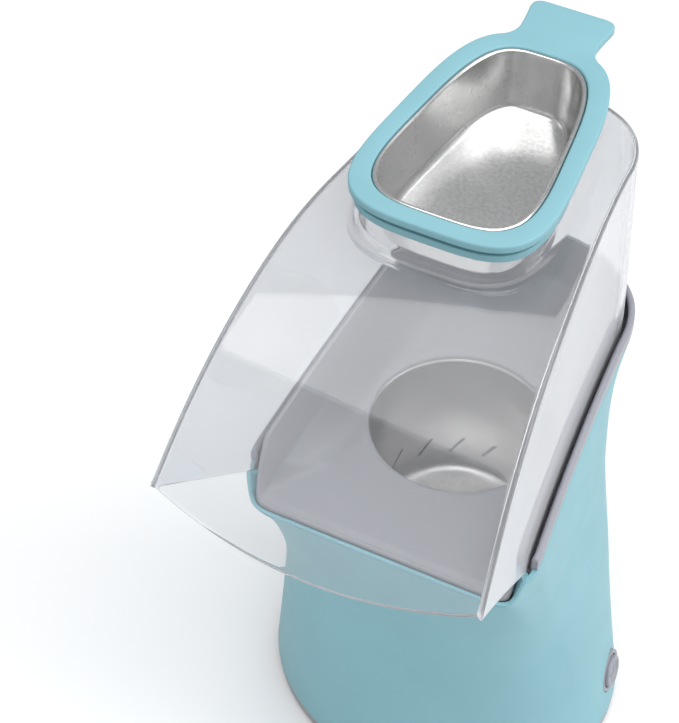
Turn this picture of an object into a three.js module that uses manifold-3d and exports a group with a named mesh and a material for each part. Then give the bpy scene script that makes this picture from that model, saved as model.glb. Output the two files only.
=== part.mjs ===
// Hot-air popcorn maker: a vase-shaped base with a blower and heater under a metal popping
// chamber, a clear lift-off chute hood over it, and a butter-melting cup on top of the hood.
// Millimetres, +Z up, -Y towards the pouring side, origin on the table under the middle of
// the overall depth. All the work below happens in a frame on the fan's axis; the last line
// of the layout moves it to that origin.
import * as THREE from "three";
import { mergeVertices } from "three/addons/utils/BufferGeometryUtils.js";
import Module from "manifold-3d";

const wasm = await Module();
wasm.setup();

// ---------------------------------------------------------------- driving dimensions
const GAP = 0.3; // clearance between pieces that touch

const FOOT = { halfX: 100, halfY: 88, z: 9, crease: -12 }; // the base shell's bottom edge
const WAIST = { halfX: 79, halfY: 78, level: 0.74, crease: -34, power: 3.3 };
const SHELL = 2.4; // base shell wall

const LIP = { y: -163.5, z: 290.5, half: 83, bulge: 9.5 }; // the hood's pouring lip
const REAR = { y: 45, half: 62, depth: 49, power: 2.6 }; // the hood's rounded back, in plan
const SIDE_BOW = { half: 69, y: -65 }; // control point of the hood's side, in plan
const ROOF_Z = 368.5; // flat back of the hood's roof
const ROOF_BEND = { from: -15, control: -100 }; // where the roof starts to curve down
const HOOD_WALL = 2.4;
const LEAN = 0.05; // how much the hood's back narrows from its edge up to its roof

const SEAM_BACK = { y: 108, z: 252 }; // the base shell's top edge, seen from the side
const SEAM_BEND = { y: -20, z: 250 };
const SEAM_FRONT = { y: -103, z: 217.5 };
const SPOUT = { y: -92, z: 208, corner: 13, creaseAngle: -52 }; // the open front of the rim
const TRIM = { out: 5.8, gap: 2.2, rise: 8, front: -81.8 };
const SEAT = 2.4; // the hood's edge stands this far below the seam
const LEDGE = 5.2; // how far the trim's ledge reaches in under the hood
const DECK = { wall: 2.4, lip: 21, holeR: 46.5, holeZ: 210, thickness: 2.6 };

const CHAMBER = { r: 47, wall: 1, flangeR: 60, top: 207.1, bottom: 120, slots: 16 };
const JACKET = { r: 59, wall: 1.4, bottom: 54, inletR: 27 };
const HEATER = { half: 57.2, bottom: 80, top: 114, wire: 1.1, turns: 4, pitch: 7 };
const FAN = { r: 34, hubR: 9, z: 60, height: 13, blades: 9 };
const MOTOR = { r: 16, z: 14, height: 34, shaftR: 1.6 };

const CUP = { frontHalf: 54, backHalf: 39, frontY: -54.5, backY: 89.5, top: 393.2 };
const CUP_FLANGE = 4.6; // thickness of the cup frame
const CUP_BAND = 9.4; // width of the cup frame's top face
const CUP_RING = { inset: 2, shoulder: 385.4, neck: 4.2, top: 387, bottom: 381.1 };
const TRAY = { wall: 1, bottom: 359, draft: 3.4, flange: 5.5 };
const TAB = { end: 117.5, half: 22, root: 20, corner: 7, thickness: 4 };
const COLLAR = { inset: 4.6, wall: 2.4, top: 380.8 };

const PLATE = { bottom: 2.6, top: 8.7 };
const PAD = { r: 8, height: 4.4, x: 58, y: 50 }; // rubber feet
const BOSS = { r: 6.2, hole: 1.9, x: 71, y: 44, top: 30 }; // screw bosses
const BUTTON = { r: 9.4, ring: 12.4, flange: 14.6, x: 95.3, y: 12, z: 34, proud: 2.6, travel: 2.5 };
const BUTTON_FACES = { up: 9, back: 4 }; // degrees off +X
const GLAND = { r: 6, bore: 3.7, flangeR: 9.5, y: 88.2, z: 24 };

// ---------------------------------------------------------------- shapes and solids
const v2 = (x, y) => new THREE.Vector2(x, y);
const v3 = (x, y, z) => new THREE.Vector3(x, y, z);
const mix = (a, b, t) => a + (b - a) * t;

// A closed three.js geometry as a manifold-3d solid.
function solid(geometry) {
  const g = geometry.index ? geometry.toNonIndexed() : geometry.clone();
  g.deleteAttribute("normal");
  g.deleteAttribute("uv");
  const merged = mergeVertices(g, 1e-4);
  return new wasm.Manifold(
    new wasm.Mesh({
      numProp: 3,
      vertProperties: merged.attributes.position.array,
      triVerts: new Uint32Array(merged.index.array),
    }),
  );
}

// A manifold-3d solid as a flat-shaded three.js geometry.
function geometryOf(body) {
  const m = body.getMesh();
  const points = new Float32Array(m.numVert * 3);
  for (let i = 0; i < m.numVert; i++) {
    points.set(m.vertProperties.subarray(i * m.numProp, i * m.numProp + 3), i * 3);
  }
  const indexed = new THREE.BufferGeometry()
    .setAttribute("position", new THREE.BufferAttribute(points, 3))
    .setIndex(new THREE.BufferAttribute(m.triVerts, 1));
  const g = indexed.toNonIndexed();
  g.computeVertexNormals();
  return g;
}

// An outline in plan, extruded from z0 up to z1.
function prismZ(outline, z0, z1, holes = []) {
  const shape = new THREE.Shape(outline);
  shape.holes = holes.map((h) => new THREE.Path(h));
  const g = new THREE.ExtrudeGeometry(shape, { depth: z1 - z0, bevelEnabled: false });
  return solid(g.translate(0, 0, z0));
}

// An outline seen from the side, as (y, z) points, extruded from x0 to x1.
function prismX(outline, x0, x1) {
  const g = new THREE.ExtrudeGeometry(new THREE.Shape(outline), {
    depth: x1 - x0,
    bevelEnabled: false,
  });
  g.applyMatrix4(new THREE.Matrix4().makeBasis(v3(0, 1, 0), v3(0, 0, 1), v3(1, 0, 0)));
  return solid(g.translate(x0, 0, 0));
}

// A cylinder or cone on the Z axis, from z0 up to z1.
function rodZ(r0, r1, z0, z1, sides = 32) {
  const g = new THREE.CylinderGeometry(r1, r0, z1 - z0, sides);
  return solid(g.rotateX(Math.PI / 2).translate(0, 0, (z0 + z1) / 2));
}

// A profile of (radius, z) points turned about the Z axis.
function turned(profile, sides = 40) {
  const g = new THREE.LatheGeometry(profile.map(([r, z]) => v2(r, z)), sides);
  return solid(g.rotateX(Math.PI / 2));
}

function block(x0, x1, y0, y1, z0, z1) {
  const g = new THREE.BoxGeometry(x1 - x0, y1 - y0, z1 - z0);
  return solid(g.translate((x0 + x1) / 2, (y0 + y1) / 2, (z0 + z1) / 2));
}

// The triangles between two neighbouring rings of n points, which start at a and b.
function band(index, n, a, b) {
  for (let k = 0; k < n; k++) {
    const next = (k + 1) % n;
    index.push(a + k, a + next, b + next, a + k, b + next, b + k);
  }
}

// A closed skin through rings of equal length; the last ring joins back to the first.
function loftLoop(rings) {
  const n = rings[0].length;
  const index = [];
  rings.forEach((_, i) => band(index, n, i * n, ((i + 1) % rings.length) * n));
  return solid(new THREE.BufferGeometry().setFromPoints(rings.flat()).setIndex(index));
}

// A pan: its first ring is closed by an underside and its last ring by a floor.
function loftPan(rings) {
  const n = rings[0].length;
  const last = (rings.length - 1) * n;
  const centre = (ring) => ring.reduce((sum, p) => sum.add(p), v3(0, 0, 0)).divideScalar(n);
  const points = [...rings.flat(), centre(rings[0]), centre(rings.at(-1))];
  const index = [];
  for (let i = 0; i < rings.length - 1; i++) band(index, n, i * n, (i + 1) * n);
  for (let k = 0; k < n; k++) {
    const next = (k + 1) % n;
    index.push(last + n, next, k, last + n + 1, last + k, last + next);
  }
  return solid(new THREE.BufferGeometry().setFromPoints(points).setIndex(index));
}

// A round wire or tube along a curve.
function tube(curve, radius, steps, sides = 8) {
  const circle = [];
  for (let k = 0; k < sides; k++) {
    const a = (k / sides) * 2 * Math.PI;
    circle.push(v2(radius * Math.cos(a), radius * Math.sin(a)));
  }
  const options = { steps, extrudePath: curve, bevelEnabled: false };
  return solid(new THREE.ExtrudeGeometry(new THREE.Shape(circle), options));
}

// The outline moved outwards by a distance along its own normals; it runs anticlockwise.
// The distance is a number, or a function of the point's index.
function offset(outline, distance) {
  const n = outline.length;
  return outline.map((p, i) => {
    const t = outline[(i + 1) % n].clone().sub(outline[(i + n - 1) % n]).normalize();
    const d = typeof distance === "function" ? distance(i) : distance;
    return v2(p.x + t.y * d, p.y - t.x * d);
  });
}

// ---------------------------------------------------------------- shared curves
const hoodSide = new THREE.QuadraticBezierCurve(
  v2(LIP.half, LIP.y),
  v2(SIDE_BOW.half, SIDE_BOW.y),
  v2(REAR.half, REAR.y),
);
const seamCurve = new THREE.QuadraticBezierCurve(
  v2(SEAM_BACK.y, SEAM_BACK.z),
  v2(SEAM_BEND.y, SEAM_BEND.z),
  v2(SEAM_FRONT.y, SEAM_FRONT.z),
);
const roofCurve = new THREE.QuadraticBezierCurve(
  v2(ROOF_BEND.from, ROOF_Z),
  v2(ROOF_BEND.control, ROOF_Z),
  v2(LIP.y, LIP.z),
);

// Height of the seam between the shell and its trim at depth y.
function seamZ(y) {
  const points = seamCurve.getPoints(40);
  const k = Math.max(1, points.findIndex((p) => p.x < y));
  const [a, b] = y < SEAM_FRONT.y ? points.slice(-2) : [points[k - 1], points[k]];
  return mix(a.y, b.y, (y - a.x) / (b.x - a.x));
}

// The hood's back in plan, from its right side round to its left.
function hoodBack(steps) {
  const bend = (x) => Math.sign(x) * Math.abs(x) ** (2 / REAR.power);
  const points = [];
  for (let k = 1; k < steps; k++) {
    const a = (k / steps) * Math.PI;
    points.push(v2(REAR.half * bend(Math.cos(a)), REAR.y + REAR.depth * bend(Math.sin(a))));
  }
  return points;
}

const mirrored = (points) => points.map((p) => v2(-p.x, p.y)).reverse();

// The hood's outer wall in plan, from the right lip corner round the back to the left one.
function hoodWall(side = 12, back = 20) {
  const right = hoodSide.getPoints(side);
  return [...right, ...hoodBack(back), ...mirrored(right)];
}

// The base's opening in plan: the hood's outline behind the spout's straight front edge.
function baseOutline() {
  const right = hoodSide.getPoints(60).filter((p) => p.y > SPOUT.y + SPOUT.corner);
  const start = right[0];
  const corner = new THREE.QuadraticBezierCurve(
    v2(start.x - SPOUT.corner, SPOUT.y),
    v2(start.x + 1, SPOUT.y),
    start,
  ).getPoints(4);
  const front = [10, 30, 48].map((x) => v2(x, SPOUT.y));
  const half = [...front, ...corner.slice(0, -1), ...right.filter((_, i) => i % 6 === 0)];
  return [...half, ...hoodBack(18), ...mirrored(half)];
}

const base = baseOutline();

// For each point of the base's outline, 0 along the sides and 1 across the open front.
const front = base.map((p) => THREE.MathUtils.smoothstep(-p.y, -SPOUT.y - 7, -SPOUT.y - 0.5));

// The base's outline moved out by d, and by dFront across the front, at the seam's height
// plus h, and at the spout's height plus hFront across the front.
function baseRing(d, h, dFront = d, hFront = 0) {
  const ring = offset(base, (k) => mix(d, dFront, front[k]));
  return ring.map((p, k) => v3(p.x, p.y, mix(seamZ(p.y) + h, SPOUT.z + hFront, front[k])));
}

// The direction of each point of the base's outline, turned so that the spout's corners
// lie at the given angle and the front and back keep theirs.
function bearings(crease) {
  const corner = SPOUT.creaseAngle;
  return base.map((p) => {
    const a = THREE.MathUtils.radToDeg(Math.atan2(p.y, Math.abs(p.x)));
    const bent =
      a < corner
        ? mix(-90, crease, (a + 90) / (corner + 90))
        : mix(crease, 90, (a - corner) / (90 - corner));
    const t = THREE.MathUtils.degToRad(bent);
    return v2(Math.cos(t) * Math.sign(p.x), Math.sin(t));
  });
}

// A ring on an oval that is squarer at the front the higher its power is.
function ovalRing(halfX, halfY, crease, power = 2) {
  return bearings(crease).map((t) => {
    const n = t.y < 0 ? power : 2;
    const r = ((Math.abs(t.x) / halfX) ** n + (Math.abs(t.y) / halfY) ** n) ** (-1 / n);
    return v3(r * t.x, r * t.y, FOOT.z);
  });
}

// A rounded trapezoid with bowed sides, as the cup and its collar have in plan.
function cupOutline(inset, points = 44) {
  const power = 2 / 3.7;
  const outline = [];
  for (let k = 0; k < points; k++) {
    const a = ((k + 0.5) / points) * 2 * Math.PI;
    const bent = (x) => Math.sign(x) * Math.abs(x) ** power;
    const s = (bent(Math.sin(a)) + 1) / 2;
    const half = mix(CUP.frontHalf, CUP.backHalf, s) - inset;
    outline.push(v2(half * bent(Math.cos(a)), mix(CUP.frontY + inset, CUP.backY - inset, s)));
  }
  return outline;
}

// ---------------------------------------------------------------- the base's own pieces
// The vase's section at a level from 0 at the foot to 1 at the top: the foot's oval narrows
// to the waist, then grows the spout's corners.
function vaseRing(level, inset) {
  const foot = ovalRing(FOOT.halfX - inset, FOOT.halfY - inset, FOOT.crease);
  const waist = ovalRing(WAIST.halfX - inset, WAIST.halfY - inset, WAIST.crease, WAIST.power);
  const top = baseRing(TRIM.out - inset, 0);
  const spread = Math.max(0, 1 - level / WAIST.level) ** 1.08;
  const flare = Math.max(0, (level - 0.45) / 0.55) ** 2;
  return top.map((t, k) => {
    const p = waist[k].clone().lerp(foot[k], spread).lerp(t, flare);
    return p.setZ(mix(FOOT.z, t.z, level));
  });
}

const corners = [
  [1, 1],
  [-1, 1],
  [-1, -1],
  [1, -1],
];

// Moves a solid made on the Z axis, with z = 0 on the shell's face, to the button.
function atButton(body) {
  const up = THREE.MathUtils.degToRad(BUTTON_FACES.up);
  const back = THREE.MathUtils.degToRad(BUTTON_FACES.back);
  const out = v3(Math.cos(up) * Math.cos(back), Math.cos(up) * Math.sin(back), Math.sin(up));
  const across = v3(Math.sin(back), -Math.cos(back), 0);
  const turn = new THREE.Matrix4().makeBasis(across.clone().cross(out), across, out);
  return body.transform([...turn.setPosition(BUTTON.x, BUTTON.y, BUTTON.z).elements]);
}

// A cylinder on the Y axis at the cord gland, from y0 back to y1.
function rodGland(r, y0, y1) {
  const g = new THREE.CylinderGeometry(r, r, y1 - y0, 24);
  return solid(g.translate(0, (y0 + y1) / 2, GLAND.z));
}

// A screw post with a rib out to the shell's wall.
function screwBoss(sx, sy) {
  const [x, y] = [sx * BOSS.x, sy * BOSS.y];
  const post = rodZ(BOSS.r, BOSS.r, FOOT.z, BOSS.top, 16).translate(x, y, 0);
  const length = Math.hypot(x, y);
  const rib = block(length, length + 10.5, -1.2, 1.2, FOOT.z, FOOT.z + 7);
  return post.add(rib.rotate([0, 0, THREE.MathUtils.radToDeg(Math.atan2(y, x))]));
}

// The vase's wall, grown on both faces.
function vaseWall(grow) {
  const levels = [0, 0.15, 0.3, 0.45, 0.6, 0.74, 0.88, 1];
  const outside = levels.map((t) => vaseRing(t, -grow));
  const inside = levels.map((t) => vaseRing(t, SHELL + grow)).reverse();
  return loftLoop([...outside, ...inside]);
}

// What is left of a piece inside the vase once it is kept clear of the wall.
function clearOfWall(body) {
  const parts = body.subtract(vaseWall(GAP).translate(0, 0, GAP / 2)).decompose();
  return parts.sort((a, b) => b.volume() - a.volume())[0];
}

function baseShell() {
  let shell = vaseWall(0);
  for (const [sx, sy] of corners) shell = shell.add(screwBoss(sx, sy));
  for (const [sx, sy] of corners) {
    const bore = rodZ(BOSS.hole, BOSS.hole, 0, BOSS.top - 4, 12);
    shell = shell.subtract(bore.translate(sx * BOSS.x, sy * BOSS.y, 0));
  }
  shell = shell.subtract(atButton(rodZ(BUTTON.ring + GAP, BUTTON.ring + GAP, -9, 6)));
  return shell.subtract(rodGland(GLAND.r + GAP, 60, 100));
}

// Open at the front, where the spout pours: a rounded bead outside, a ledge for the hood's
// edge inside, and a skirt that drops into the shell.
function rimTrim() {
  const skirt = TRIM.out - SHELL - GAP;
  const level = (d, h) => offset(base, d).map((p) => v3(p.x, p.y, seamZ(p.y) + h));
  const loop = [
    level(TRIM.out, GAP),
    level(TRIM.out, 4),
    level(TRIM.out - 1, TRIM.rise - 1.2),
    level(TRIM.out - 2.4, TRIM.rise),
    level(TRIM.gap, TRIM.rise - 0.6),
    level(TRIM.gap, -SEAT),
    level(-LEDGE, -SEAT),
    level(-LEDGE, -SEAT - 2.6),
    level(skirt, -SEAT - 2.6),
    level(skirt, GAP),
  ];
  return clearOfWall(loftLoop(loop).subtract(block(-120, 120, -140, TRIM.front, 100, 300)));
}

// The grey pouring deck: a lip inside the hood that stands on the trim's ledge, and a floor
// that falls to the chamber and runs out flat to the front.
function deck() {
  const { wall, lip, holeR, holeZ, thickness } = DECK;
  const edge = -HOOD_WALL - 3 * GAP;
  const sill = TRIM.out - SHELL - GAP;
  const inner = baseRing(edge - wall - 3, -SEAT - 4, sill - 6, 3);
  const hole = (z) => base.map((p) => p.clone().setLength(holeR)).map((p) => v3(p.x, p.y, z));
  const floor = (t, drop) =>
    inner.map((p, k) => {
      const z = mix(p.z, holeZ, 1 - (1 - t) ** 2.6) - drop;
      return p.clone().lerp(hole(0)[k], t).setZ(z);
    });
  const body = loftLoop([
    baseRing(edge, GAP - SEAT, sill, GAP),
    baseRing(edge, lip, sill, 3),
    baseRing(edge - wall, lip, sill - wall, 3),
    floor(0, 0),
    floor(0.2, 0),
    floor(0.5, 0),
    hole(holeZ),
    hole(holeZ - thickness),
    floor(0.5, thickness),
    floor(0.2, thickness),
    baseRing(-LEDGE - 3 * GAP, -SEAT - 6, sill - 3, GAP),
    baseRing(-LEDGE - 3 * GAP, GAP - SEAT, sill - 3, GAP),
  ]);
  return clearOfWall(body);
}

// A drawn metal cup with slanted air slots low in its wall.
function poppingChamber() {
  const { r, wall, flangeR, top, bottom } = CHAMBER;
  let cup = turned(
    [
      [0, bottom],
      [r - 8, bottom],
      [r - 2, bottom + 3],
      [r, bottom + 9],
      [r, top - wall],
      [flangeR, top - wall],
      [flangeR, top],
      [r - wall, top],
      [r - wall, bottom + 9],
      [r - 3, bottom + 3.6],
      [r - 9, bottom + wall],
      [14, bottom + wall],
      [0, bottom + 7],
    ],
    48,
  );
  const slot = block(r - 4, r + 4, -0.9, 0.9, -7, 7);
  for (let k = 0; k < CHAMBER.slots; k++) {
    const cut = slot.rotate([32, 0, 0]).translate([0, 0, bottom + 19]);
    cup = cup.subtract(cut.rotate([0, 0, (k / CHAMBER.slots) * 360]));
  }
  return cup;
}

// The sleeve that carries the blown air past the heater and round the chamber.
function airJacket() {
  const { r, wall, bottom, inletR } = JACKET;
  const top = CHAMBER.top - CHAMBER.wall - GAP;
  return turned(
    [
      [inletR, bottom],
      [r - 14, bottom],
      [r, bottom + 18],
      [r, top],
      [r - wall, top],
      [r - wall, bottom + 18.6],
      [r - 14.6, bottom + wall],
      [inletR, bottom + wall],
      [inletR, bottom],
    ],
    40,
  );
}

// Height of the heating wire after a number of quarter turns.
const wireZ = (quarters) => HEATER.bottom + 4 + (HEATER.pitch * quarters) / 4;

// Two crossed mica cards, notched where the heating wire winds round them.
function heaterFormer() {
  const { half, bottom, top, turns } = HEATER;
  let cards = block(-half, half, -0.6, 0.6, bottom, top);
  cards = cards.add(block(-0.6, 0.6, -half, half, bottom, top));
  for (let q = 0; q <= 4 * turns; q++) {
    const notch = block(half - 4.2, half + 1, -2, 2, wireZ(q) - 1.7, wireZ(q) + 1.7);
    cards = cards.subtract(notch.rotate([0, 0, 90 * q]));
  }
  return cards;
}

// The heating wire, wound round the former.
function heaterWire() {
  const points = [];
  const steps = 20;
  for (let k = 0; k <= HEATER.turns * steps; k++) {
    const a = (k / steps) * 2 * Math.PI;
    const r = HEATER.half - 2.3;
    points.push(v3(r * Math.cos(a), r * Math.sin(a), wireZ((4 * k) / steps)));
  }
  return tube(new THREE.CatmullRomCurve3(points), HEATER.wire, HEATER.turns * steps, 6);
}

function motorCan() {
  const { r, z, height } = MOTOR;
  const can = rodZ(r, r, z, z + height, 28).add(rodZ(6, 6, z + height - 1, z + height + 2.5, 16));
  return can.subtract(rodZ(MOTOR.shaftR + 0.4, MOTOR.shaftR + 0.4, z + 6, z + height + 4, 12));
}

// A three-armed spider that hangs the motor under the jacket's inlet.
function motorBracket() {
  const z = MOTOR.z + MOTOR.height + GAP;
  let spider = rodZ(14, 14, z, z + 2, 28).subtract(rodZ(6.5, 6.5, z - 1, z + 3, 16));
  for (let k = 0; k < 3; k++) {
    const arm = block(11, 38, -4, 4, z, z + 2).add(block(35, 38, -4, 4, z, JACKET.bottom - GAP));
    spider = spider.add(arm.rotate([0, 0, 90 + 120 * k]));
  }
  return spider;
}

// Leaning blades between a hub and a base disc.
function fanWheel() {
  const { r, hubR, z, height, blades } = FAN;
  let wheel = rodZ(hubR, hubR - 1.5, z - 1, z + height, 20).add(rodZ(r, r, z, z + 1.4, 36));
  const blade = block(hubR - 2, r - 2, 5.3, 6.7, z, z + height);
  for (let k = 0; k < blades; k++) wheel = wheel.add(blade.rotate([0, 0, (k / blades) * 360]));
  const bore = MOTOR.shaftR + GAP;
  return wheel.subtract(rodZ(bore, bore, z - 3, z + height - 3, 12));
}

function motorShaft() {
  return rodZ(MOTOR.shaftR, MOTOR.shaftR, MOTOR.z + 7, FAN.z + FAN.height - 4, 12);
}

// A bimetal thermostat, clipped to the back of the jacket.
function thermostat() {
  const body = new THREE.CylinderGeometry(8, 8, 4, 24).translate(0, JACKET.r + 2.4, 104);
  const cap = new THREE.CylinderGeometry(6, 8, 2, 24).translate(0, JACKET.r + 5.4, 104);
  return solid(body).add(solid(cap));
}

// A fuse lying along the top edge of one mica card.
function thermalFuse() {
  const g = new THREE.CylinderGeometry(2, 2, 12, 12).rotateZ(Math.PI / 2);
  return solid(g.translate(26, 0, HEATER.top + 2 + GAP));
}

// The board that feeds the low-voltage motor, standing on the plate, with its four diodes.
function rectifierBoard() {
  let board = block(-18, 18, 34, 35.6, PLATE.top + GAP, 40);
  for (let k = 0; k < 4; k++) {
    const diode = new THREE.CylinderGeometry(1.8, 1.8, 8, 10).rotateZ(Math.PI / 2);
    board = board.add(solid(diode.translate(0, 37, 16 + 6 * k)));
  }
  return board;
}

// A floor with air slots, pockets for the feet and countersunk screw holes.
function basePlate() {
  const oval = (inset) =>
    new THREE.EllipseCurve(0, 0, FOOT.halfX - inset, FOOT.halfY - inset)
      .getPoints(48)
      .slice(0, -1);
  let plate = prismZ(oval(0.6), PLATE.bottom, PLATE.top);
  plate = plate.subtract(prismZ(oval(5), PLATE.bottom + 3, PLATE.top + 1));
  for (let k = -4; k <= 4; k++) {
    const reach = 30 - 0.9 * k * k;
    plate = plate.subtract(block(-reach, reach, 7 * k - 1.6, 7 * k + 1.6, 0, 12));
  }
  plate = plate.add(block(-19, 19, 31.4, 33.7, PLATE.bottom, PLATE.top));
  plate = plate.add(block(-19, 19, 33, 38, PLATE.bottom, PLATE.bottom + 3));
  plate = plate.add(block(-19, 19, 35.9, 38, PLATE.bottom, PLATE.top));
  for (const [sx, sy] of corners) {
    const pocket = rodZ(PAD.r + GAP, PAD.r + GAP, 0, PAD.height + GAP, 24);
    const backing = rodZ(PAD.r + 2, PAD.r + 2, PLATE.bottom, PAD.height + 2, 24);
    plate = plate.add(backing.translate(sx * PAD.x, sy * PAD.y, 0));
    plate = plate.subtract(pocket.translate(sx * PAD.x, sy * PAD.y, 0));
    const post = rodZ(BOSS.r, BOSS.r, PLATE.bottom, PLATE.top, 16);
    plate = plate.add(post.translate(sx * BOSS.x, sy * BOSS.y, 0));
    const bore = rodZ(2.4, 2.4, 0, 12, 12).add(rodZ(4.2, 4.2, 0, PLATE.bottom + 3, 16));
    plate = plate.subtract(bore.translate(sx * BOSS.x, sy * BOSS.y, 0));
  }
  return plate;
}

function footPad() {
  return rodZ(PAD.r - 0.8, PAD.r, 0, PAD.height, 24);
}

function baseScrew() {
  const head = PLATE.bottom + 0.5;
  const shank = rodZ(BOSS.hole - GAP, BOSS.hole - GAP, head, BOSS.top - 5, 10);
  return shank.add(rodZ(3.8, 3.8, head, head + 2.2, 16));
}

function cordGland() {
  const flange = rodGland(GLAND.flangeR, GLAND.y, GLAND.y + 2.4);
  const body = rodGland(GLAND.r, GLAND.y - 9, GLAND.y + 1).add(flange);
  return body.subtract(rodGland(GLAND.bore, GLAND.y - 12, GLAND.y + 6));
}

// ---------------------------------------------------------------- the power button
// The bezel, with two legs that hold the switch behind it.
function buttonRing() {
  const { r, flange } = BUTTON;
  let ring = rodZ(BUTTON.ring, BUTTON.ring, -7, 0.6).add(rodZ(flange, flange, -8.5, -6.6));
  ring = ring.subtract(rodZ(r + 0.4, r + 0.4, -12, 4));
  ring = ring.add(block(-5, 5, 10, 12, -24, -7)).add(block(-5, 5, -12, -10, -24, -7));
  return atButton(ring);
}

function buttonCap() {
  const { r, proud } = BUTTON;
  const cap = turned(
    [
      [0, -9],
      [4, -9],
      [4, -5],
      [r, -5],
      [r, proud - 1],
      [r - 1, proud],
      [r - 2.2, proud],
      [r - 2.9, proud - 0.9],
      [0, proud - 1.3],
    ],
    32,
  );
  return atButton(cap);
}

function switchModule() {
  return atButton(block(-8, 8, -9.7, 9.7, -27, -9 - BUTTON.travel - GAP));
}

// ---------------------------------------------------------------- the hood
// The hood's side view, as (y, z) points: its roof is lowered by d.
function roofLine(d) {
  const slope = (ROOF_Z - LIP.z) / (ROOF_BEND.control - LIP.y);
  const ahead = LIP.bulge + 4;
  const end = v2(LIP.y - ahead, LIP.z - ahead * slope);
  return [v2(140, ROOF_Z), ...roofCurve.getPoints(14), end].map((p) => v2(p.x, p.y - d));
}

// What lies inside an outline in plan, under the roof and above the lower line.
function hoodBlock(outline, lowered, lowerLine) {
  const side = [...roofLine(lowered), ...lowerLine];
  return prismZ(outline, 150, 400).intersect(prismX(side.reverse(), -130, 130));
}

function hood() {
  const wall = hoodWall();
  const lip = new THREE.QuadraticBezierCurve(
    v2(-LIP.half, LIP.y),
    v2(0, LIP.y - 2 * LIP.bulge),
    v2(LIP.half, LIP.y),
  );
  const outer = [...wall, ...lip.getPoints(12).slice(1, -1)];
  const seat = [];
  for (let y = TRIM.front - 2; y <= 121; y += 17) seat.push(v2(y, seamZ(y) - SEAT + GAP));
  const underLip = [v2(LIP.y - LIP.bulge - 6, LIP.z - 27), v2(LIP.y + 1, LIP.z - 2.6)];
  let body = hoodBlock(outer, 0, [...underLip, ...seat]);

  const inner = offset(wall, -HOOD_WALL);
  inner[0].copy(inner[1]).sub(inner[2]).setLength(80).add(inner[1]);
  inner.at(-1).set(-inner[0].x, inner[0].y);
  const below = [v2(LIP.y - 80, 160), v2(140, 160)];
  body = body.subtract(hoodBlock(inner, HOOD_WALL * 1.25, below));

  body = body.warp((p) => {
    const above = SEAM_BACK.z + 12;
    const up = Math.max(0, (p[2] - above) / (ROOF_Z - above));
    p[0] *= 1 - LEAN * up * THREE.MathUtils.smoothstep(p[1], -60, 40);
    p[1] -= LEAN * up * Math.max(0, p[1] - REAR.y);
  });

  const root = ROOF_Z - HOOD_WALL;
  const collar = prismZ(cupOutline(COLLAR.inset), root, COLLAR.top);
  const flare = prismZ(cupOutline(0), root, ROOF_Z + 2);
  const well = prismZ(cupOutline(COLLAR.inset + COLLAR.wall), 340, 420);
  return body.add(collar).add(flare).subtract(well);
}

// ---------------------------------------------------------------- the butter cup
// The teal frame: a flat band with a handle tab at the back.
function cupFrame() {
  const { end, half, root, corner } = TAB;
  const neck = CUP.backY + 4;
  const tab = new THREE.Shape();
  tab.moveTo(-root - 3, CUP.backY - 5);
  tab.lineTo(root + 3, CUP.backY - 5);
  tab.quadraticCurveTo(root, CUP.backY, root, neck);
  tab.lineTo(half, end - corner);
  tab.quadraticCurveTo(half + 1, end, half - corner, end);
  tab.lineTo(corner - half, end);
  tab.quadraticCurveTo(-half - 1, end, -half, end - corner);
  tab.lineTo(-root, neck);
  tab.quadraticCurveTo(-root, CUP.backY, -root - 3, CUP.backY - 5);
  const bottom = CUP.top - CUP_FLANGE;
  const handle = prismZ(tab.getPoints(5), CUP.top - TAB.thickness, CUP.top);
  const band = prismZ(cupOutline(0), bottom, CUP.top).add(handle);
  return band.subtract(prismZ(cupOutline(CUP_BAND), bottom - 1, CUP.top + 1));
}

// The drawn metal tray: a tapered pan with a rolled top and a flange under the frame.
function cupTray() {
  const flangeTop = CUP.top - CUP_FLANGE - GAP;
  const at = (inset, z) => cupOutline(inset).map((p) => v3(p.x, p.y, z));
  const face = CUP_BAND + GAP;
  const { wall, bottom, draft, flange } = TRAY;
  return loftPan([
    at(face + draft + 4.5, bottom),
    at(face + draft + 1, bottom + 5),
    at(face + 1, CUP.top - 3 - wall),
    at(face - flange, flangeTop - wall),
    at(face - flange, flangeTop),
    at(face, flangeTop),
    at(face, CUP.top - 1.2),
    at(face + 1, CUP.top - 0.4),
    at(face + 2, CUP.top - 1.2),
    at(face + 2.2, CUP.top - 3),
    at(face + draft + 2.2, bottom + 5),
    at(face + draft + 5.7, bottom + wall),
  ]);
}

// The ring that snaps under the frame, holds the tray's flange and sits on the collar.
function cupRing() {
  const { inset, shoulder, neck, top, bottom } = CUP_RING;
  const hole = cupOutline(CUP_BAND + 1);
  const ring = prismZ(cupOutline(inset), bottom, shoulder).add(prismZ(cupOutline(neck), bottom, top));
  return ring.subtract(prismZ(hole, bottom - 1, top + 1));
}

// ---------------------------------------------------------------- materials
function finish(color, roughness, metalness = 0, extra = {}) {
  return new THREE.MeshStandardMaterial({ color, roughness, metalness, ...extra });
}
const teal = finish(0x86c3cd, 0.38);
const grey = finish(0x9a9ba3, 0.42);
const clear = finish(0xe9eef2, 0.06, 0, { transparent: true, opacity: 0.3 });
const aluminium = finish(0xb9bbbd, 0.3, 1);
const steel = finish(0x9fa2a6, 0.35, 1);
const mica = finish(0xb7a98a, 0.7);
const nichrome = finish(0x6f6a66, 0.45, 1);
const rubber = finish(0x3a3b3d, 0.85);
const darkPlastic = finish(0x2f3133, 0.55);
const board = finish(0x7b6a3a, 0.6);

// ---------------------------------------------------------------- assembly
const popcornMaker = new THREE.Group();

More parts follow.
